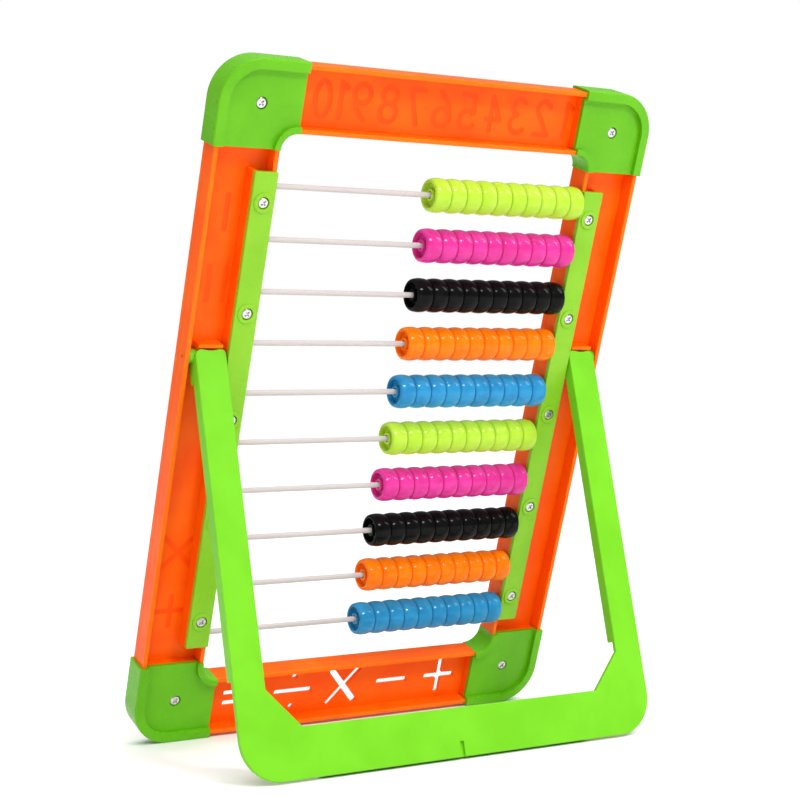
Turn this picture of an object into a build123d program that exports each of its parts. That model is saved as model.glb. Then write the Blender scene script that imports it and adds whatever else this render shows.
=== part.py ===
"""Ten-row counting abacus on a folding rear stand, in millimetres.

The frame leans back on its stand. Every flat piece is drawn on one of two planes:
"deck" lies in the frame as it is seen from behind (x to the right, y up the frame,
z out of the back), and "face" is the same plane as it is read from the front.
Levels are heights along the deck's z, measured from the rod axes.
"""

import os
from math import acos, atan2, cos, degrees, hypot, radians, sin

from build123d import *

# ---- Frame ------------------------------------------------------------------------------
FRAME_HALF_WIDTH = 110.0
FRAME_HALF_HEIGHT = 157.5
CAP_PROUD = 1.2
RAIL_HALF_WIDTH = FRAME_HALF_WIDTH - CAP_PROUD
RAIL_HALF_HEIGHT = FRAME_HALF_HEIGHT - CAP_PROUD
WINDOW_HALF_WIDTH = 79.0
WINDOW_HALF_HEIGHT = 127.5
TOP_DROP = 1.7
WALL = 2.0
RAIL_BACK = 1.0
WEB_BACK = -6.0
WEB_FRONT = WEB_BACK - WALL
RAIL_FRONT = -10.0
RAIL_EDGE = 0.4

# ---- Corner caps ------------------------------------------------------------------------
CAP_X = 71.0
CAP_Y = 118.5
CAP_PANEL = 0.0
CAP_RIM = 2.2
CAP_RIM_WIDTH = 4.5
CAP_FRONT = -11.2
CAP_RADIUS = 19.0
CAP_SHELL = 1.8
CAP_EDGE = 0.9
TOP_SILL_RADIUS = 7.0
BOTTOM_SILL_RADIUS = 8.0
SILL_BAND = 3.0
CAP_INSIDE = CAP_FRONT + CAP_SHELL
CAP_BOSS = 10.0

# ---- Tongues of the rails inside the caps -------------------------------------------------
TONGUE_INNER = 81.2
TONGUE_OUTER = 106.5
TONGUE_Y = 143.5
END_TONGUE_LOW = 129.8
END_TONGUE_HIGH = 154.0
END_TONGUE_STEP = 76.0
END_TONGUE_X = 97.0
END_TONGUE_BACK = WEB_BACK + WALL
TONGUE_PLAY = 0.2
END_WALL_BACK = CAP_PANEL - WALL

# ---- Screws -----------------------------------------------------------------------------
SCREW_HEAD = 4.8
SCREW_SHANK = 2.9
SCREW_HOLE = 3.0
HEAD_HEIGHT = 1.6
HEAD_EDGE = 0.7
DRIVE_WIDTH = 0.75
DRIVE_LENGTH = 2.8
DRIVE_DEPTH = 0.9
CAP_SCREW_X = 90.0
CAP_SCREW_Y = 137.2
CAP_SEAT = -1.8
CAP_RECESS = 5.3
CAP_SCREW_LENGTH = 7.0
CAP_POST = 8.0

# ---- Rods and their clamps --------------------------------------------------------------
ROWS = 10
ROW_PITCH = 22.93
ROD_DIAMETER = 2.5
ROD_END = 88.4
ROD_PLAY = 0.3
ROD_GROOVE = 1.3
CLAMP_INNER = WINDOW_HALF_WIDTH
CLAMP_OUTER = 89.8
CLAMP_HALF_LENGTH = 109.5
CLAMP_BACK = 3.0
CLAMP_EDGE = 0.5
CLAMP_SCREWS = 5
CLAMP_SCREW_X = 84.3
CLAMP_SCREW_PITCH = 48.2
CLAMP_BOSS = 8.7
CLAMP_BOSS_BACK = 3.6
CLAMP_SEAT = 1.8
CLAMP_RECESS = 5.3
CLAMP_SCREW_LENGTH = 6.4
CLAMP_POST = 7.4

# ---- Beads ------------------------------------------------------------------------------
BEADS_PER_ROW = 10
BEAD_DIAMETER = 15.5
BEAD_END_DIAMETER = 14.0
BEAD_LENGTH = 8.0
BEAD_PITCH = 8.06
BEAD_EDGE = 1.2
BEAD_BORE = 3.4
BEAD_HUB = 5.8
BEAD_CUP = 11.4
BEAD_CUP_DEPTH = 2.4
BEAD_HUB_SINK = 0.5
BEAD_DRAFT = 0.2
ROW_PARKED_END = 77.5

# ---- Stand ------------------------------------------------------------------------------
STAND_OPEN = 33.85
PIVOT_Y = 27.5
PIVOT_Z = -2.5
PIVOT_DEPTH = 4.9
STAND_TIP = 2.0
STAND_FOOT = 180.1
STAND_HALF_WIDTH = 104.7
LEG_INNER = 90.4
BAR_HEIGHT = 21.3
BAR_INNER = 75.6
BAR_CHAMFER = 16.4
STAND_RADIUS = 18.0
STAND_PLATE = 2.0
STAND_DEPTH = 5.5
STAND_EDGE = 0.6
LEG_FLANGE_END = 137.8
TIP_OUTER_RADIUS = 3.4
TIP_INNER_RADIUS = 2.4
BAR_FLANGE_HALF = 68.5
EAR_REACH = 3.1
EAR_LENGTH = 12.0
TRUNNION = 3.6
TRUNNION_HOLE = 3.8
TRUNNION_END = 107.9
TRUNNION_SHOULDER = 6.0
SHOULDER_END = 106.6
BEARING_END = 108.1
VENT = 1.4
NOTCH_WIDTH = 2.0
NOTCH_HEIGHT = 6.8
NOTCH_DEPTH = 1.3
SCOOP_HALF = 4.5
SCOOP_DEPTH = 0.9
STOP_GAP = 0.15
STOP_CREST = 1.3
STOP_INSET = 1.6

# ---- Raised digits and signs, and the signs cut through the bottom rail -------------------
MARK_RELIEF = 0.8
MARK_STROKE = 2.4
SINK_DEPTH = 0.15
DIGIT_HALF_WIDTH = 3.5
DIGIT_BELLY = 4.0
DIGIT_TOP = 7.6
DIGIT_START = -67.5
DIGIT_PITCH = 13.5
TEN_ONE = 50.0
TEN_ZERO = 59.3
SIGN_STROKE = 3.0
SIGN_END_RADIUS = 0.8
SIGN_PITCH = 27.4
SIGN_CENTRE = -1.5
SIGN_DROP = 0.5
CUT_SIGNS = [
    ("plus", 17.6, 19.0),
    ("minus", 17.6, 0),
    ("times", 15.6, 18.6),
    ("divided", 20.4, 16.0),
    ("equals", 19.0, 5.2),
]
SIDE_SIGN_X = 96.2
SIDE_SIGN_LENGTH = 17.0
SIDE_SIGN_GAP = 7.4
SIDE_SIGN_HEIGHTS = {"minus": 89.7, "equals": 58.6, "times": -65.3, "plus": -94.2}

# ---- Derived ----------------------------------------------------------------------------
BAND_Y = (RAIL_HALF_HEIGHT + WINDOW_HALF_HEIGHT) / 2
STAND_BACK = PIVOT_DEPTH
STAND_FRONT = PIVOT_DEPTH - STAND_DEPTH
BAR_TOP = BAR_HEIGHT - STAND_FOOT

ORANGE = (1.0, 0.30, 0.04)
GREEN = (0.42, 0.80, 0.16)
YELLOW_GREEN = (0.62, 0.86, 0.20)
LIGHT_GREEN = (0.48, 0.92, 0.18)
STEEL = (0.70, 0.70, 0.72)
ROD_GREY = (0.86, 0.84, 0.82)
LIME = (0.78, 0.95, 0.25)
MAGENTA = (0.90, 0.20, 0.62)
BLACK = (0.05, 0.05, 0.06)
TANGERINE = (1.00, 0.52, 0.08)
BLUE = (0.15, 0.55, 0.86)
ROW_COLOURS = [LIME, MAGENTA, BLACK, TANGERINE, BLUE]


# ---- How the abacus stands --------------------------------------------------------------
def stand_point(along, depth):
    """Frame coordinates (y, z) of a point of the open stand, measured from its hinge."""
    swing = radians(STAND_OPEN)
    y = PIVOT_Y - along * cos(swing) - depth * sin(swing)
    z = PIVOT_Z + along * sin(swing) - depth * cos(swing)
    return y, z


# The rounded back edge of the caps and the front edge of the stand's bar share the table.
foot_y, foot_z = stand_point(STAND_FOOT, -STAND_FRONT)
heel_y, heel_z = stand_point(STAND_FOOT - STAND_EDGE, STAND_EDGE - STAND_BACK)
edge_y = CAP_EDGE - FRAME_HALF_HEIGHT
edge_z = CAP_RIM - CAP_EDGE
lean = atan2(foot_z - edge_z, edge_y - foot_y)
lean -= acos(CAP_EDGE / hypot(foot_z - edge_z, edge_y - foot_y))
centre_height = CAP_EDGE - edge_y * cos(lean) + edge_z * sin(lean)
front_reach = edge_y * sin(lean) + (CAP_FRONT + CAP_EDGE) * cos(lean) - CAP_EDGE
back_reach = heel_y * sin(lean) + heel_z * cos(lean) + STAND_EDGE
centre = (0, -(front_reach + back_reach) / 2, centre_height)

deck = Plane(origin=centre, x_dir=(-1, 0, 0), z_dir=(0, cos(lean), -sin(lean)))
face = Plane(origin=centre, x_dir=(1, 0, 0), z_dir=(0, -cos(lean), sin(lean)))
stand_normal = deck.y_dir * sin(radians(STAND_OPEN)) + deck.z_dir * cos(radians(STAND_OPEN))
hinge = deck.from_local_coords((0, PIVOT_Y, PIVOT_Z))
leaf = Plane(origin=hinge, x_dir=deck.x_dir, z_dir=stand_normal)
along_x = Axis(deck.origin, deck.x_dir)
along_y = Axis(deck.origin, deck.y_dir)
along_z = Axis(deck.origin, deck.z_dir)

row_heights = [ROW_PITCH * ((ROWS - 1) / 2 - row) for row in range(ROWS)]
clamp_screw_heights = [
    CLAMP_SCREW_PITCH * (i - (CLAMP_SCREWS - 1) / 2) for i in range(CLAMP_SCREWS)
]


# ---- Building blocks --------------------------------------------------------------------
def block(base, x, y, low, high, mode=Mode.ADD):
    """Box over ranges x and y of a plane, between two levels."""
    with BuildSketch(base.offset(low)) as outline:
        with Locations(((x[0] + x[1]) / 2, (y[0] + y[1]) / 2)):
            Rectangle(abs(x[1] - x[0]), abs(y[1] - y[0]))
    extrude(outline.sketch, amount=high - low, mode=mode)


def disc(x, y, diameter, low, high, mode=Mode.ADD):
    """Cylinder square to the frame, between two levels."""
    with BuildSketch(deck.offset(low)) as outline:
        with Locations((x, y)):
            Circle(diameter / 2)
    extrude(outline.sketch, amount=high - low, mode=mode)


def across(base, x):
    """Plane across a base plane at x: its x is the base's y, its y the base's z."""
    return Plane(origin=base.from_local_coords((x, 0, 0)), x_dir=base.y_dir, z_dir=base.x_dir)


def edges_at(piece, axis, place):
    """Edges of a piece whose middle is at one place along an axis."""
    return piece.edges().filter_by_position(axis, place - 0.01, place + 0.01)


def drop(end):
    """How much nearer to the rods the top end of the frame is than the bottom end."""
    return TOP_DROP if end > 0 else 0


def save(piece, name, colour):
    """Label a finished piece and write its file."""
    piece.part.label = name
    piece.part.color = Color(*colour)
    export_step(piece.part, f"parts/{name}.step")


os.makedirs("parts", exist_ok=True)


# ---- Digits and signs -------------------------------------------------------------------
def stroke(*points):
    """Straight round-ended strokes through points."""
    for (x0, y0), (x1, y1) in zip(points, points[1:]):
        turn = degrees(atan2(y1 - y0, x1 - x0))
        with Locations(Location(((x0 + x1) / 2, (y0 + y1) / 2, 0), turn)):
            SlotCenterToCenter(hypot(x1 - x0, y1 - y0), MARK_STROKE)


def bow(centre_y, radius, start, sweep):
    """Round-ended stroke along an arc centred on the digit's axis."""
    with BuildLine(mode=Mode.PRIVATE):
        path = CenterArc((0, centre_y), radius, start, sweep)
    SlotArc(path, MARK_STROKE)


def loop(centre_y, half_width, half_height):
    """Closed oval stroke."""
    with Locations((0, centre_y)):
        Ellipse(half_width + MARK_STROKE / 2, half_height + MARK_STROKE / 2)
        Ellipse(half_width - MARK_STROKE / 2, half_height - MARK_STROKE / 2, mode=Mode.SUBTRACT)


def digit(value):
    """One digit in the open sketch, about its own centre, from strokes, bows and loops."""
    top, half = DIGIT_TOP, DIGIT_HALF_WIDTH
    upper, lower = top - half, DIGIT_BELLY - top
    if value == 0:
        loop(0, half, top)
    elif value == 1:
        stroke((-half * 0.6, top - 2), (half * 0.2, top), (half * 0.2, -top))
    elif value == 2:
        bow(upper, half, -20, 180)
        stroke((half * 0.9, upper - 1.5), (-half, -top), (half, -top))
    elif value == 3:
        bow(upper, half, -80, 225)
        bow(lower, DIGIT_BELLY, -145, 225)
    elif value == 4:
        stroke((half, -top / 3), (-half, -top / 3), (half / 3, top), (half / 3, -top))
    elif value == 5:
        stroke((half, top), (-half * 0.7, top), (-half * 0.85, 0))
        bow(lower, DIGIT_BELLY, -145, 275)
    elif value == 7:
        stroke((-half, top), (half, top), (-half / 3, -top))
    elif value == 8:
        loop(upper, half, half)
        loop(lower, DIGIT_BELLY, DIGIT_BELLY)
    else:
        turn = 1 if value == 6 else -1
        loop(turn * lower, DIGIT_BELLY, DIGIT_BELLY)
        stroke(
            (-turn * DIGIT_BELLY, turn * lower),
            (-turn * half * 0.7, turn * top * 0.4),
            (turn * half * 0.5, turn * top),
        )


def raise_mark(outline):
    """Raise a mark on the front of a web, with the shallow sink it leaves in the back."""
    extrude(outline.sketch, amount=MARK_RELIEF)
    back = outline.sketch.moved(Location(-face.z_dir * WALL))
    extrude(back, amount=SINK_DEPTH, mode=Mode.SUBTRACT)


def raised_digits():
    """The numbers one to ten across the front of the top rail."""
    places = [(value, DIGIT_START + DIGIT_PITCH * (value - 1)) for value in range(1, 10)]
    places += [(1, TEN_ONE), (0, TEN_ZERO)]
    for value, x in places:
        spot = Plane(
            origin=face.from_local_coords((x, BAND_Y - TOP_DROP, -WEB_FRONT)),
            x_dir=face.x_dir,
            z_dir=face.z_dir,
        )
        with BuildSketch(spot) as outline:
            digit(value)
        raise_mark(outline)


def bar(x, y, length, width, turn=0):
    """One rounded bar of a sign in the open sketch."""
    with Locations(Location((x, y, 0), turn)):
        RectangleRounded(length, width, min(SIGN_END_RADIUS, width * 0.4))


def sign(kind, x, y, width, height, thickness, turn=0):
    """An arithmetic sign in the open sketch, turned by whole right angles."""
    if kind == "equals":
        for shift in (-height / 2, height / 2):
            dx, dy = (shift, 0) if turn else (0, shift)
            bar(x + dx, y + dy, width, thickness, turn)
    elif kind == "divided":
        bar(x, y, width, thickness)
        with Locations((x, y + height / 2), (x, y - height / 2)):
            Circle(thickness / 2)
    elif kind == "times":
        slope = degrees(atan2(height, width))
        length = hypot(width, height)
        bar(x, y, length, thickness, slope)
        bar(x, y, length, thickness, -slope)
    else:
        bar(x, y, width, thickness, turn)
        if kind == "plus":
            bar(x, y, height, thickness, turn + 90)


# ---- Side rails -------------------------------------------------------------------------
def rod_grooves(side):
    """Grooves for the rod ends: open on the window side, blind in the clamp rib."""
    start = CLAMP_INNER - 1
    with BuildSketch(across(deck, side * start)) as outline:
        with Locations(*[(y, 0) for y in row_heights]):
            Circle(ROD_GROOVE)
        with Locations(*[(y, RAIL_BACK) for y in row_heights]):
            Rectangle(2 * ROD_GROOVE, 2 * RAIL_BACK)
    extrude(outline.sketch, amount=side * (ROD_END + ROD_PLAY - start), mode=Mode.SUBTRACT)


def stop_rib(side):
    """Low rib that the tip of the open leg rests against, sloped like the tip."""
    reach = STAND_TIP + STOP_GAP
    low = stand_point(-reach, -(STAND_BACK - STAND_PLATE))
    top = stand_point(-reach, -(STAND_BACK + 0.6))
    crest = top[0] + STOP_CREST
    inner, outer = LEG_INNER + STOP_INSET, STAND_HALF_WIDTH - STOP_INSET
    with BuildSketch(across(deck, side * inner)) as outline:
        with BuildLine():
            Polyline((low[0], WEB_BACK), low, top, (crest, top[1]), (crest, WEB_BACK), close=True)
        make_face()
    extrude(outline.sketch, amount=side * (outer - inner))


def bearing(side):
    """Blind bearing in the outer wall for the stand's trunnion, with a vent hole."""
    for diameter, start, end in (
        (TRUNNION_HOLE, RAIL_HALF_WIDTH - WALL, BEARING_END),
        (VENT, BEARING_END, RAIL_HALF_WIDTH),
    ):
        with BuildSketch(across(deck, side * start)) as outline:
            with Locations((PIVOT_Y, PIVOT_Z)):
                Circle(diameter / 2)
        extrude(outline.sketch, amount=side * (end - start), mode=Mode.SUBTRACT)


def soften_rims(rail, ends):
    """Round the front and back rims of a rail, but not where the caps butt against it."""
    butts = edges_at(rail, *ends[0]) + edges_at(rail, *ends[1])
    for level in (RAIL_FRONT, RAIL_BACK):
        fillet(edges_at(rail, along_z, level) - butts, radius=RAIL_EDGE)


def side_rail(rail, side):
    """A channel with rims, and at each end a closing wall and a tongue for the cap."""
    inner = side * WINDOW_HALF_WIDTH
    outer = side * RAIL_HALF_WIDTH
    run = (-CAP_Y, CAP_Y)
    clamp_run = (-CLAMP_HALF_LENGTH, CLAMP_HALF_LENGTH)
    block(deck, (inner, outer), run, WEB_FRONT, WEB_BACK)
    block(deck, (inner, inner + side * WALL), run, RAIL_FRONT, RAIL_BACK)
    block(deck, (outer - side * WALL, outer), run, RAIL_FRONT, RAIL_BACK)
    soften_rims(rail, ((along_y, -CAP_Y), (along_y, CAP_Y)))
    rib = (side * (CLAMP_OUTER - WALL), side * CLAMP_OUTER)
    block(deck, rib, clamp_run, WEB_BACK, RAIL_BACK)
    for y in clamp_screw_heights:
        disc(side * CLAMP_SCREW_X, y, CLAMP_POST, WEB_BACK, RAIL_BACK)
    for end in (1, -1):
        tongue = (end * CAP_Y, end * TONGUE_Y)
        breadth = (side * TONGUE_INNER, side * TONGUE_OUTER)
        block(deck, breadth, tongue, WEB_FRONT, WEB_BACK)
        block(deck, breadth, (tongue[0], tongue[0] + end * WALL), WEB_BACK, END_WALL_BACK)
        for edge in (TONGUE_INNER, TONGUE_OUTER - WALL):
            block(deck, (side * edge, side * (edge + WALL)), tongue, CAP_INSIDE, WEB_FRONT)
        x, y = side * CAP_SCREW_X, end * CAP_SCREW_Y
        disc(x, y, CAP_POST, CAP_INSIDE, WEB_FRONT)
        disc(x, y, SCREW_HOLE, CAP_SEAT - CAP_SCREW_LENGTH - 0.3, WEB_BACK, Mode.SUBTRACT)
    for y in clamp_screw_heights:
        bottom = CLAMP_SEAT - CLAMP_SCREW_LENGTH - 0.3
        disc(side * CLAMP_SCREW_X, y, SCREW_HOLE, bottom, RAIL_BACK, Mode.SUBTRACT)
    stop_rib(side)
    bearing(side)
    rod_grooves(side)


with BuildPart() as left_rail:
    side_rail(left_rail, 1)
save(left_rail, "left_rail", ORANGE)

with BuildPart() as right_rail:
    side_rail(right_rail, -1)
    with BuildSketch(face.offset(-WEB_FRONT)) as side_signs:
        for kind, height in SIDE_SIGN_HEIGHTS.items():
            length, gap = SIDE_SIGN_LENGTH, SIDE_SIGN_GAP
            tall = gap if kind == "equals" else length
            sign(kind, SIDE_SIGN_X, height, length, tall, MARK_STROKE, 90)
    raise_mark(side_signs)
save(right_rail, "right_rail", ORANGE)


# ---- Top and bottom rails ---------------------------------------------------------------
def end_rail(rail, end):
    """A channel closed at its ends, which step up to lie on the side rails' tongues."""
    inner = end * WINDOW_HALF_HEIGHT - drop(end)
    outer = end * RAIL_HALF_HEIGHT - drop(end)
    run = (-CAP_X, CAP_X)
    tongue = (end * END_TONGUE_LOW - drop(end), end * END_TONGUE_HIGH - drop(end))
    step = END_TONGUE_STEP
    block(deck, run, (inner, outer), WEB_FRONT, WEB_BACK)
    block(deck, run, (inner, inner + end * WALL), RAIL_FRONT, RAIL_BACK)
    block(deck, run, (outer - end * WALL, outer), RAIL_FRONT, RAIL_BACK)
    soften_rims(rail, ((along_x, -CAP_X), (along_x, CAP_X)))
    block(deck, (-step - WALL, step + WALL), tongue, WEB_FRONT, WEB_BACK)
    for side in (1, -1):
        x = (side * step, side * END_TONGUE_X)
        block(deck, x, tongue, WEB_BACK, END_TONGUE_BACK)
        wall = (side * CAP_X, side * (CAP_X + WALL))
        block(deck, wall, tongue, WEB_BACK, END_WALL_BACK)
        spot = (side * CAP_SCREW_X, end * CAP_SCREW_Y)
        disc(*spot, SCREW_HOLE + 0.4, WEB_BACK, END_TONGUE_BACK, Mode.SUBTRACT)


with BuildPart() as top_rail:
    end_rail(top_rail, 1)
    raised_digits()
save(top_rail, "top_rail", ORANGE)

with BuildPart() as bottom_rail:
    end_rail(bottom_rail, -1)
    with BuildSketch(face.offset(-WEB_BACK)):
        for place, (kind, width, height) in enumerate(CUT_SIGNS, -2):
            x = SIGN_CENTRE + place * SIGN_PITCH
            sign(kind, x, -BAND_Y - SIGN_DROP, width, height, SIGN_STROKE)
    extrude(amount=WALL, mode=Mode.SUBTRACT)
save(bottom_rail, "bottom_rail", ORANGE)


# ---- Corner caps ------------------------------------------------------------------------
def cap_region(side, end, outer_inset, sill_inset, leg_inset):
    """Footprint of one cap in the open sketch, each wall drawn in by its own inset."""
    with Locations((0, -drop(end))):
        width = 2 * (FRAME_HALF_WIDTH - outer_inset)
        height = 2 * (FRAME_HALF_HEIGHT - outer_inset)
        RectangleRounded(width, height, CAP_RADIUS - outer_inset)
        width = 2 * (WINDOW_HALF_WIDTH + sill_inset)
        height = 2 * (WINDOW_HALF_HEIGHT + sill_inset)
        radius = TOP_SILL_RADIUS if end > 0 else BOTTOM_SILL_RADIUS
        RectangleRounded(width, height, radius + sill_inset, mode=Mode.SUBTRACT)
    middle = (CAP_X + leg_inset + FRAME_HALF_HEIGHT, CAP_Y + leg_inset + FRAME_HALF_HEIGHT)
    with Locations((side * middle[0], end * middle[1])):
        Rectangle(2 * FRAME_HALF_HEIGHT, 2 * FRAME_HALF_HEIGHT, mode=Mode.INTERSECT)


def corner_cap(cap, side, end):
    """A shell round two rail ends, with a raised rim and a sunk panel on its back."""
    with BuildSketch(deck.offset(CAP_FRONT)) as outline:
        cap_region(side, end, 0, 0, 0)
    extrude(outline.sketch, amount=CAP_RIM - CAP_FRONT)
    butts = edges_at(cap, along_x, side * CAP_X) + edges_at(cap, along_y, end * CAP_Y)
    for level in (CAP_FRONT, CAP_RIM):
        fillet(edges_at(cap, along_z, level) - butts, radius=CAP_EDGE)
    with BuildSketch(deck.offset(CAP_PANEL)) as outline:
        cap_region(side, end, CAP_RIM_WIDTH, SILL_BAND, -1)
    extrude(outline.sketch, amount=CAP_RIM, mode=Mode.SUBTRACT)
    with BuildSketch(deck.offset(CAP_INSIDE)) as outline:
        cap_region(side, end, CAP_SHELL, CAP_SHELL, CAP_SHELL)
    extrude(outline.sketch, amount=END_WALL_BACK - CAP_INSIDE, mode=Mode.SUBTRACT)
    x, y = side * CAP_SCREW_X, end * CAP_SCREW_Y
    disc(x, y, CAP_BOSS, END_TONGUE_BACK, END_WALL_BACK)
    disc(x, y, CAP_RECESS, CAP_SEAT, CAP_PANEL, Mode.SUBTRACT)
    disc(x, y, SCREW_HOLE + 0.4, END_TONGUE_BACK, CAP_SEAT, Mode.SUBTRACT)
    wall = (side * (CAP_X - 1), side * (CAP_X + CAP_SHELL + 0.1))
    low, high = END_TONGUE_LOW - TONGUE_PLAY, END_TONGUE_HIGH + TONGUE_PLAY
    slot = (end * low - drop(end), end * high - drop(end))
    block(deck, wall, slot, WEB_FRONT, END_WALL_BACK, Mode.SUBTRACT)
    wall = (end * (CAP_Y - 1), end * (CAP_Y + CAP_SHELL + 0.1))
    slot = (side * (TONGUE_INNER - TONGUE_PLAY), side * (TONGUE_OUTER + TONGUE_PLAY))
    block(deck, slot, wall, CAP_INSIDE, END_WALL_BACK, Mode.SUBTRACT)


for end, level_name in ((1, "top"), (-1, "bottom")):
    for side, side_name in ((1, "left"), (-1, "right")):
        with BuildPart() as corner:
            corner_cap(corner, side, end)
        save(corner, f"{level_name}_{side_name}_cap", GREEN)


# ---- Rod clamps -------------------------------------------------------------------------
def rod_clamp(clamp, side):
    """A strip screwed over the rod ends, with a raised ring round each sunk screw."""
    middle = side * (CLAMP_INNER + CLAMP_OUTER) / 2
    with BuildSketch(deck.offset(RAIL_BACK)) as outline:
        with Locations((middle, 0)):
            RectangleRounded(CLAMP_OUTER - CLAMP_INNER, 2 * CLAMP_HALF_LENGTH, CLAMP_EDGE)
    extrude(outline.sketch, amount=CLAMP_BACK - RAIL_BACK)
    fillet(edges_at(clamp, along_z, CLAMP_BACK), radius=CLAMP_EDGE * 0.9)
    for y in clamp_screw_heights:
        disc(side * CLAMP_SCREW_X, y, CLAMP_BOSS, RAIL_BACK, CLAMP_BOSS_BACK)
    fillet(edges_at(clamp, along_z, CLAMP_BOSS_BACK), radius=0.4)
    for y in clamp_screw_heights:
        x = side * CLAMP_SCREW_X
        disc(x, y, CLAMP_RECESS, CLAMP_SEAT, CLAMP_BOSS_BACK, Mode.SUBTRACT)
        disc(x, y, SCREW_HOLE + 0.4, RAIL_BACK, CLAMP_SEAT, Mode.SUBTRACT)
    rod_grooves(side)


# ---- Screws -----------------------------------------------------------------------------
def screws(group, places, seat, length):
    """Pan-head cross-recess screws driven in from the back."""
    top = seat + HEAD_HEIGHT
    for x, y in places:
        disc(x, y, SCREW_HEAD, seat, top)
    fillet(edges_at(group, along_z, top), radius=HEAD_EDGE)
    for x, y in places:
        disc(x, y, SCREW_SHANK, seat - length, seat)
    with BuildSketch(deck.offset(top - DRIVE_DEPTH)) as outline:
        with Locations(*places):
            Rectangle(DRIVE_LENGTH, DRIVE_WIDTH, rotation=45)
            Rectangle(DRIVE_LENGTH, DRIVE_WIDTH, rotation=-45)
    extrude(outline.sketch, amount=DRIVE_DEPTH, mode=Mode.SUBTRACT)


for side, side_name in ((1, "left"), (-1, "right")):
    with BuildPart() as strip:
        rod_clamp(strip, side)
    save(strip, f"{side_name}_rod_clamp", YELLOW_GREEN)
    with BuildPart() as fixings:
        spots = [(side * CLAMP_SCREW_X, y) for y in clamp_screw_heights]
        screws(fixings, spots, CLAMP_SEAT, CLAMP_SCREW_LENGTH)
    save(fixings, f"{side_name}_clamp_screws", STEEL)

with BuildPart() as cap_screws:
    spots = [(x * CAP_SCREW_X, y * CAP_SCREW_Y) for x in (1, -1) for y in (1, -1)]
    screws(cap_screws, spots, CAP_SEAT, CAP_SCREW_LENGTH)
save(cap_screws, "cap_screws", STEEL)


# ---- Rods and beads ---------------------------------------------------------------------
with BuildSketch() as bead_profile:
    half = BEAD_LENGTH / 2
    floor = half - BEAD_CUP_DEPTH
    hub_end = half - BEAD_HUB_SINK
    bore, hub = BEAD_BORE / 2, BEAD_HUB / 2
    cup, shoulder = BEAD_CUP / 2, BEAD_END_DIAMETER / 2
    with BuildLine():
        ThreePointArc((-half, shoulder), (0, BEAD_DIAMETER / 2), (half, shoulder))
        for end in (1, -1):
            Polyline(
                (end * half, shoulder),
                (end * half, cup),
                (end * floor, cup - BEAD_DRAFT),
                (end * floor, hub),
                (end * hub_end, hub - BEAD_DRAFT),
                (end * hub_end, bore),
                (0, bore),
            )
    make_face()
    rims = bead_profile.vertices().filter_by_position(Axis.Y, shoulder - 0.01, shoulder + 0.01)
    fillet(rims, radius=BEAD_EDGE)

bead_places = [ROW_PARKED_END - BEAD_LENGTH / 2 - BEAD_PITCH * i for i in range(BEADS_PER_ROW)]

for row, y in enumerate(row_heights):
    number = f"{row + 1:02d}"
    with BuildPart() as rod:
        with BuildSketch(across(deck, -ROD_END)):
            with Locations((y, 0)):
                Circle(ROD_DIAMETER / 2)
        extrude(amount=2 * ROD_END)
        chamfer(rod.edges(), length=0.3)
    save(rod, f"rod_{number}", ROD_GREY)

    axle = Plane(
        origin=deck.from_local_coords((0, y, 0)), x_dir=deck.x_dir, z_dir=deck.z_dir
    )
    with BuildPart() as beads:
        with BuildSketch(axle):
            with Locations(*[(x, 0) for x in bead_places]):
                add(bead_profile.sketch)
        revolve(axis=Axis(axle.origin, axle.x_dir))
    save(beads, f"beads_row_{number}", ROW_COLOURS[row % len(ROW_COLOURS)])


# ---- Stand ------------------------------------------------------------------------------
def leg(side):
    """Flanges, hinge ear, shouldered trunnion and tip scoop of one leg."""
    run = (-LEG_FLANGE_END, 0)
    flange_top = STAND_BACK - STAND_PLATE
    outer, inner = side * STAND_HALF_WIDTH, side * LEG_INNER
    block(leaf, (outer - side * STAND_PLATE, outer), run, STAND_FRONT, flange_top)
    block(leaf, (inner, inner + side * STAND_PLATE), run, STAND_FRONT, flange_top)
    with BuildSketch(across(leaf, outer - side * STAND_PLATE)) as outline:
        Circle(EAR_REACH)
        with Locations((-EAR_LENGTH / 2, (flange_top - EAR_REACH) / 2)):
            Rectangle(EAR_LENGTH, flange_top + EAR_REACH)
    extrude(outline.sketch, amount=side * STAND_PLATE)
    for diameter, reach in ((TRUNNION_SHOULDER, SHOULDER_END), (TRUNNION, TRUNNION_END)):
        with BuildSketch(across(leaf, outer)) as outline:
            Circle(diameter / 2)
        extrude(outline.sketch, amount=side * (reach - STAND_HALF_WIDTH))
    scoop_radius = (SCOOP_HALF**2 + SCOOP_DEPTH**2) / (2 * SCOOP_DEPTH)
    with BuildSketch(leaf.offset(flange_top)) as outline:
        with Locations(((outer + inner) / 2, STAND_TIP - SCOOP_DEPTH + scoop_radius)):
            Circle(scoop_radius)
    extrude(outline.sketch, amount=STAND_PLATE, mode=Mode.SUBTRACT)


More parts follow.
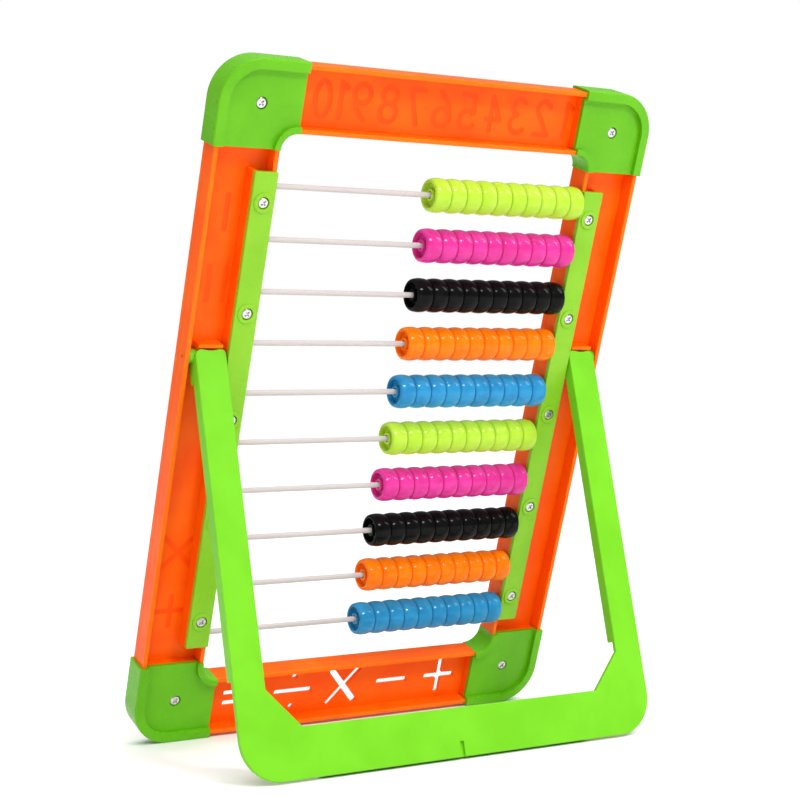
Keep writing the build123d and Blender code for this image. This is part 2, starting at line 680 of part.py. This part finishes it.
with BuildPart() as stand:
    with BuildSketch(leaf.offset(STAND_BACK - STAND_PLATE)) as plate:
        with Locations((0, (STAND_TIP - STAND_FOOT) / 2)):
            Rectangle(2 * STAND_HALF_WIDTH, STAND_FOOT + STAND_TIP)
        fillet(plate.vertices().group_by(Axis.Y)[0], radius=STAND_RADIUS)
        with BuildLine():
            Polyline(
                (-LEG_INNER, STAND_TIP + 1),
                (-LEG_INNER, BAR_TOP + BAR_CHAMFER),
                (-BAR_INNER, BAR_TOP),
                (BAR_INNER, BAR_TOP),
                (LEG_INNER, BAR_TOP + BAR_CHAMFER),
                (LEG_INNER, STAND_TIP + 1),
                close=True,
            )
        make_face(mode=Mode.SUBTRACT)
        tips = plate.vertices().group_by(Axis.Y)[-1].sort_by(Axis.X)
        fillet([tips[0], tips[-1]], radius=TIP_OUTER_RADIUS)
        tips = plate.vertices().group_by(Axis.Y)[-1].sort_by(Axis.X)
        fillet(tips[1:3], radius=TIP_INNER_RADIUS)
    extrude(amount=STAND_PLATE)
    back_edges = edges_at(stand, Axis(leaf.origin, leaf.z_dir), STAND_BACK)
    fillet(back_edges, radius=STAND_EDGE)
    for y in (-STAND_FOOT, BAR_TOP - STAND_PLATE):
        span = (-BAR_FLANGE_HALF, BAR_FLANGE_HALF)
        block(leaf, span, (y, y + STAND_PLATE), STAND_FRONT, STAND_BACK - STAND_PLATE)
    for side in (1, -1):
        leg(side)
    notch = (-STAND_FOOT - 1, NOTCH_HEIGHT - STAND_FOOT)
    half_notch = (-NOTCH_WIDTH / 2, NOTCH_WIDTH / 2)
    block(leaf, half_notch, notch, STAND_BACK - NOTCH_DEPTH, STAND_BACK + 1, Mode.SUBTRACT)
save(stand, "rear_stand", LIGHT_GREEN)
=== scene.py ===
"""Looks of the abacus: moulded plastic, coated rods and plated screws, in a pale studio."""

import math

import bpy
from mathutils import Matrix, Vector

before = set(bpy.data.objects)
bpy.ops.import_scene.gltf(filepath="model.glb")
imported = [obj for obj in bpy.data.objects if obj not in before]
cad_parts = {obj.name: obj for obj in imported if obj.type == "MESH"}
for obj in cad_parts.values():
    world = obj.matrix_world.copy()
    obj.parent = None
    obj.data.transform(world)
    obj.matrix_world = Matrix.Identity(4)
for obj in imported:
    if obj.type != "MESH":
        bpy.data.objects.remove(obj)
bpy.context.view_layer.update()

MM = 0.001

# ---- Camera, from behind the abacus -------------------------------------------------------
CAMERA_TARGET = Vector((0.0, 9.3, 155.3)) * MM
CAMERA_DISTANCE = 789.8 * MM
CAMERA_AZIMUTH = 148.91
CAMERA_ELEVATION = 0.23
CAMERA_ROLL = -0.62
CAMERA_LENS = 77.99
SENSOR_WIDTH = 36.0

# ---- Plane of the frame: height of a point behind the rods --------------------------------
LEAN = math.radians(20.1067)
FRAME_NORMAL = Vector((0.0, math.cos(LEAN), -math.sin(LEAN)))
FRAME_CENTRE = Vector((0.0, 4.9396, 148.4028)) * MM
WEB_BACK = -6.0 * MM
SINK_DEPTH = 0.15 * MM
RIM_BACK = 1.0 * MM

# ---- Colours, linear, mostly in pairs that a cloudy pattern blends ------------------------
ORANGE = ((0.980, 0.140, 0.002), (0.970, 0.108, 0.001))
# Painted shade: the redder orange laid where the web is thick behind the raised digits.
ORANGE_PAINTED_DIGIT_SHADE = (0.950, 0.088, 0.001)
# Painted light: the paler orange laid on the back rims of the rails.
ORANGE_PAINTED_RIM_LIGHT = (1.000, 0.230, 0.006)
CAP_GREEN = ((0.132, 0.475, 0.007), (0.115, 0.425, 0.005))
CLAMP_GREEN = ((0.243, 0.550, 0.024), (0.216, 0.505, 0.018))
STAND_GREEN = ((0.176, 0.590, 0.017), (0.157, 0.540, 0.013))
ROD_WHITE = ((0.550, 0.505, 0.495), (0.500, 0.460, 0.448))
ZINC = ((0.58, 0.58, 0.60), (0.74, 0.74, 0.75))
FLOOR_WHITE = ((0.91, 0.90, 0.90), (0.93, 0.92, 0.92))

# Each bead plastic: its two cloud colours and its gloss.
BEAD_PLASTICS = {
    "lime": ((0.450, 0.680, 0.055), (0.400, 0.650, 0.032), 0.22),
    "magenta": ((0.700, 0.040, 0.310), (0.620, 0.026, 0.245), 0.22),
    "black": ((0.006, 0.006, 0.006), (0.003, 0.003, 0.003), 0.08),
    "orange": ((0.960, 0.205, 0.003), (0.900, 0.160, 0.002), 0.16),
    "blue": ((0.024, 0.270, 0.530), (0.016, 0.215, 0.460), 0.22),
}


# ---- Node trees ---------------------------------------------------------------------------
class Shader:
    """A material with one Principled shader, and short calls that feed it."""

    def __init__(self, name, **uniform):
        self.material = bpy.data.materials.new(name)
        self.material.use_nodes = True
        self.tree = self.material.node_tree
        self.bsdf = self.tree.nodes["Principled BSDF"]
        self.place = self.add("ShaderNodeTexCoord").outputs["Object"]
        for socket, value in uniform.items():
            self.bsdf.inputs[socket.replace("_", " ")].default_value = value

    def add(self, kind, **settings):
        """A new node with its settings."""
        node = self.tree.nodes.new(kind)
        for key, value in settings.items():
            setattr(node, key, value)
        return node

    def plug(self, value, socket):
        """Link an output into a socket, or set the socket to a number or colour."""
        if isinstance(value, bpy.types.NodeSocket):
            self.tree.links.new(value, socket)
        else:
            socket.default_value = value

    def stretched(self, scale):
        """Object coordinates scaled by axis."""
        mapping = self.add("ShaderNodeMapping")
        self.plug(self.place, mapping.inputs["Vector"])
        mapping.inputs["Scale"].default_value = scale
        return mapping.outputs["Vector"]

    def noise(self, scale, detail=2.0, roughness=0.5, vector=None):
        """Cloudy values about 0.5, with features of 1 / scale metres."""
        texture = self.add("ShaderNodeTexNoise")
        self.plug(vector or self.place, texture.inputs["Vector"])
        texture.inputs["Scale"].default_value = scale
        texture.inputs["Detail"].default_value = detail
        texture.inputs["Roughness"].default_value = roughness
        return texture.outputs["Fac"]

    def remap(self, value, low, high, to_low, to_high):
        """A value's range low to high, eased onto another range."""
        ramp = self.add("ShaderNodeMapRange", interpolation_type="SMOOTHSTEP")
        self.plug(value, ramp.inputs["Value"])
        limits = {"From Min": low, "From Max": high, "To Min": to_low, "To Max": to_high}
        for socket, number in limits.items():
            ramp.inputs[socket].default_value = number
        return ramp.outputs["Result"]

    def mix(self, factor, first, second):
        """A blend of two colours."""
        blend = self.add("ShaderNodeMix", data_type="RGBA")
        self.plug(factor, blend.inputs["Factor"])
        for socket, colour in ((blend.inputs["A"], first), (blend.inputs["B"], second)):
            self.plug((*colour, 1.0) if isinstance(colour, tuple) else colour, socket)
        return blend.outputs["Result"]

    def bump(self, height, distance, strength=1.0, under=None):
        """Relief of a height pattern, on top of another relief where one is given."""
        relief = self.add("ShaderNodeBump")
        self.plug(height, relief.inputs["Height"])
        relief.inputs["Distance"].default_value = distance
        relief.inputs["Strength"].default_value = strength
        if under is not None:
            self.plug(under, relief.inputs["Normal"])
        return relief.outputs["Normal"]

    def feed(self, **sockets):
        """Plug values into the Principled shader and give the finished material."""
        for socket, value in sockets.items():
            self.plug(value, self.bsdf.inputs[socket.replace("_", " ")])
        return self.material


def moulded_plastic(name, colours, sheen, cloud=45.0, glow=0.0, gloss=0.2, tint=None):
    """Injection-moulded plastic: cloudy pigment, a faint waviness and a fine orange-peel grain."""
    shader = Shader(
        name,
        IOR=1.49,
        Specular_IOR_Level=gloss,
        Subsurface_Weight=glow,
        Subsurface_Scale=2.0 * MM,
        Subsurface_Radius=(1.0, 0.35, 0.12),
    )
    pigment = shader.remap(shader.noise(cloud, 3.0), 0.32, 0.68, 0.0, 1.0)
    colour = shader.mix(pigment, *colours)
    wave = shader.bump(shader.noise(110.0, 1.0), 0.12 * MM, 0.35)
    grain = shader.bump(shader.noise(1100.0, 1.0), 0.01 * MM, 0.06, wave)
    return shader.feed(
        Base_Color=tint(shader, colour) if tint else colour,
        Roughness=shader.remap(shader.noise(300.0, 3.0), 0.3, 0.7, *sheen),
        Normal=grain,
    )


def painted_rim_light_and_digit_shade(shader, colour):
    """Painted shade and light on the rail web: redder where the web is thick behind a raised mark,
    paler near the back rims of a rail.
    """
    along = shader.add("ShaderNodeVectorMath", operation="DOT_PRODUCT")
    shader.plug(shader.place, along.inputs[0])
    along.inputs[1].default_value = FRAME_NORMAL
    level = along.outputs["Value"]
    base = FRAME_CENTRE.dot(FRAME_NORMAL)
    web = base + WEB_BACK
    # Painted shade: the digit faces just below the web's back are blended towards a redder orange,
    # for less light passing through the thick web.
    below = shader.remap(level, web - SINK_DEPTH * 0.8, web - SINK_DEPTH * 0.2, 1.0, 0.0)
    above = shader.remap(level, web - 6.0 * SINK_DEPTH, web - 4.0 * SINK_DEPTH, 0.0, 1.0)
    painted_digit_shade = shader.add("ShaderNodeMath", operation="MULTIPLY")
    shader.plug(below, painted_digit_shade.inputs[0])
    shader.plug(above, painted_digit_shade.inputs[1])
    # Painted light: the band near the back rims is blended towards a paler orange.
    painted_rim_light = shader.remap(level, base + RIM_BACK - 1.2 * MM, base + RIM_BACK, 0.0, 0.45)
    return shader.mix(painted_rim_light, shader.mix(painted_digit_shade.outputs["Value"], colour, ORANGE_PAINTED_DIGIT_SHADE), ORANGE_PAINTED_RIM_LIGHT)


def rod_coating():
    """Off-white coating with faint drawing lines along the rod."""
    shader = Shader("rod_coating", IOR=1.45)
    streaks = shader.noise(900.0, 2.0, vector=shader.stretched((0.02, 1.0, 1.0)))
    return shader.feed(
        Base_Color=shader.mix(shader.noise(60.0, 2.0), *ROD_WHITE),
        Roughness=shader.remap(streaks, 0.3, 0.7, 0.30, 0.45),
        Normal=shader.bump(streaks, 0.01 * MM, 0.4),
    )


def plated_steel():
    """Bright zinc plating, a little cloudy and finely scratched."""
    shader = Shader("screw_steel", Metallic=1.0)
    cloud = shader.noise(700.0, 3.0)
    return shader.feed(
        Base_Color=shader.mix(cloud, *ZINC),
        Roughness=shader.remap(cloud, 0.3, 0.7, 0.22, 0.38),
        Normal=shader.bump(shader.noise(5000.0, 2.0), 0.01 * MM, 0.3),
    )


def floor_paint():
    """Matt off-white studio floor."""
    shader = Shader("studio_floor", Specular_IOR_Level=0.0)
    return shader.feed(
        Base_Color=shader.mix(shader.noise(3.0, 2.0), *FLOOR_WHITE),
        Roughness=shader.remap(shader.noise(20.0, 2.0), 0.3, 0.7, 0.75, 0.9),
    )


# ---- Materials on the CAD nodes -------------------------------------------------------------
def dress(node, material):
    """Give a CAD node one material."""
    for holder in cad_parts[node].material_slots:
        holder.link = "OBJECT"
        holder.material = material


rail_plastic = moulded_plastic(
    "orange_plastic", ORANGE, (0.28, 0.38), glow=0.5, gloss=0.12, tint=painted_rim_light_and_digit_shade
)
cap_plastic = moulded_plastic("cap_green_plastic", CAP_GREEN, (0.26, 0.36), glow=0.15)
clamp_plastic = moulded_plastic("clamp_green_plastic", CLAMP_GREEN, (0.26, 0.36), glow=0.15)
stand_plastic = moulded_plastic("stand_green_plastic", STAND_GREEN, (0.30, 0.40), glow=0.15)
bead_plastics = [
    moulded_plastic(f"{name}_bead", (light, dark), (0.10, 0.18), cloud=160.0, glow=0.1, gloss=gloss)
    for name, (light, dark, gloss) in BEAD_PLASTICS.items()
]
steel = plated_steel()
coating = rod_coating()

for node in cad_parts:
    if node.startswith("beads_row_"):
        row = int(node[-2:]) - 1
        dress(node, bead_plastics[row % len(bead_plastics)])
    elif node.startswith("rod_"):
        dress(node, coating)
    elif node.endswith("_screws"):
        dress(node, steel)
    elif node.endswith("_rail"):
        dress(node, rail_plastic)
    elif node.endswith("_cap"):
        dress(node, cap_plastic)
    elif node.endswith("_clamp"):
        dress(node, clamp_plastic)
    else:
        dress(node, stand_plastic)


# ---- Studio, in metres ----------------------------------------------------------------------
LAMP_DISTANCE = 1.3
AMBIENT = 0.35
BACKGROUND = 1.0
FLOOR_HALF = 6.0


def towards(azimuth, elevation):
    """Direction from the object to a camera or lamp; azimuth 0 is in front of it, 180 behind."""
    a, e = math.radians(azimuth), math.radians(elevation)
    return Vector((math.sin(a) * math.cos(e), -math.cos(a) * math.cos(e), math.sin(e)))


def aim(obj, target, back, distance, roll=0.0):
    """Put a camera or lamp at a distance from a target, looking at it."""
    turn = (-back).to_track_quat("-Z", "Y").to_matrix() @ Matrix.Rotation(math.radians(roll), 3, "Z")
    obj.matrix_world = Matrix.LocRotScale(target + back * distance, turn.to_quaternion(), None)


def softbox(name, azimuth, elevation, size, watts):
    """Rectangular area lamp aimed at the abacus."""
    lamp = bpy.data.lights.new(name, "AREA")
    lamp.shape = "RECTANGLE"
    lamp.size, lamp.size_y = size
    lamp.energy = watts
    holder = bpy.data.objects.new(name, lamp)
    bpy.context.scene.collection.objects.link(holder)
    aim(holder, CAMERA_TARGET, towards(azimuth, elevation), LAMP_DISTANCE)


def overhead(name, azimuth, elevation, spread, strength):
    """Broad even light from a large ceiling panel, too soft to show as a reflection."""
    lamp = bpy.data.lights.new(name, "SUN")
    lamp.angle = math.radians(spread)
    lamp.energy = strength
    holder = bpy.data.objects.new(name, lamp)
    holder.visible_glossy = False
    bpy.context.scene.collection.objects.link(holder)
    aim(holder, CAMERA_TARGET, towards(azimuth, elevation), LAMP_DISTANCE)


floor_mesh = bpy.data.meshes.new("studio_floor")
corners = [(x * FLOOR_HALF, y * FLOOR_HALF, 0.0) for x, y in ((-1, -1), (1, -1), (1, 1), (-1, 1))]
floor_mesh.from_pydata(corners, [], [range(4)])
floor_mesh.materials.append(floor_paint())
floor = bpy.data.objects.new("studio_floor", floor_mesh)
bpy.context.scene.collection.objects.link(floor)

# The camera sees the world as plain white, and everything else is lit by a dimmer one.
world = bpy.data.worlds.new("studio")
world.use_nodes = True
sky = world.node_tree.nodes["Background"]
sky.inputs["Color"].default_value = (1.0, 1.0, 1.0, 1.0)
ray = world.node_tree.nodes.new("ShaderNodeLightPath")
level = world.node_tree.nodes.new("ShaderNodeMapRange")
level.inputs["To Min"].default_value = AMBIENT
level.inputs["To Max"].default_value = BACKGROUND
world.node_tree.links.new(ray.outputs["Is Camera Ray"], level.inputs["Value"])
world.node_tree.links.new(level.outputs["Result"], sky.inputs["Strength"])
bpy.context.scene.world = world
bpy.context.scene.view_settings.view_transform = "Standard"

overhead("ceiling_back", azimuth=163, elevation=50, spread=60, strength=1.9)
overhead("ceiling_front", azimuth=-20, elevation=75, spread=60, strength=1.6)
softbox("key", azimuth=188, elevation=37, size=(0.16, 0.16), watts=5.0)
softbox("side", azimuth=240, elevation=36, size=(0.25, 0.5), watts=3.0)

camera_data = bpy.data.cameras.new("camera")
camera_data.lens = CAMERA_LENS
camera_data.sensor_width = SENSOR_WIDTH
camera_data.clip_start = 0.01
camera = bpy.data.objects.new("camera", camera_data)
bpy.context.scene.collection.objects.link(camera)
aim(camera, CAMERA_TARGET, towards(CAMERA_AZIMUTH, CAMERA_ELEVATION), CAMERA_DISTANCE, CAMERA_ROLL)
bpy.context.scene.camera = camera
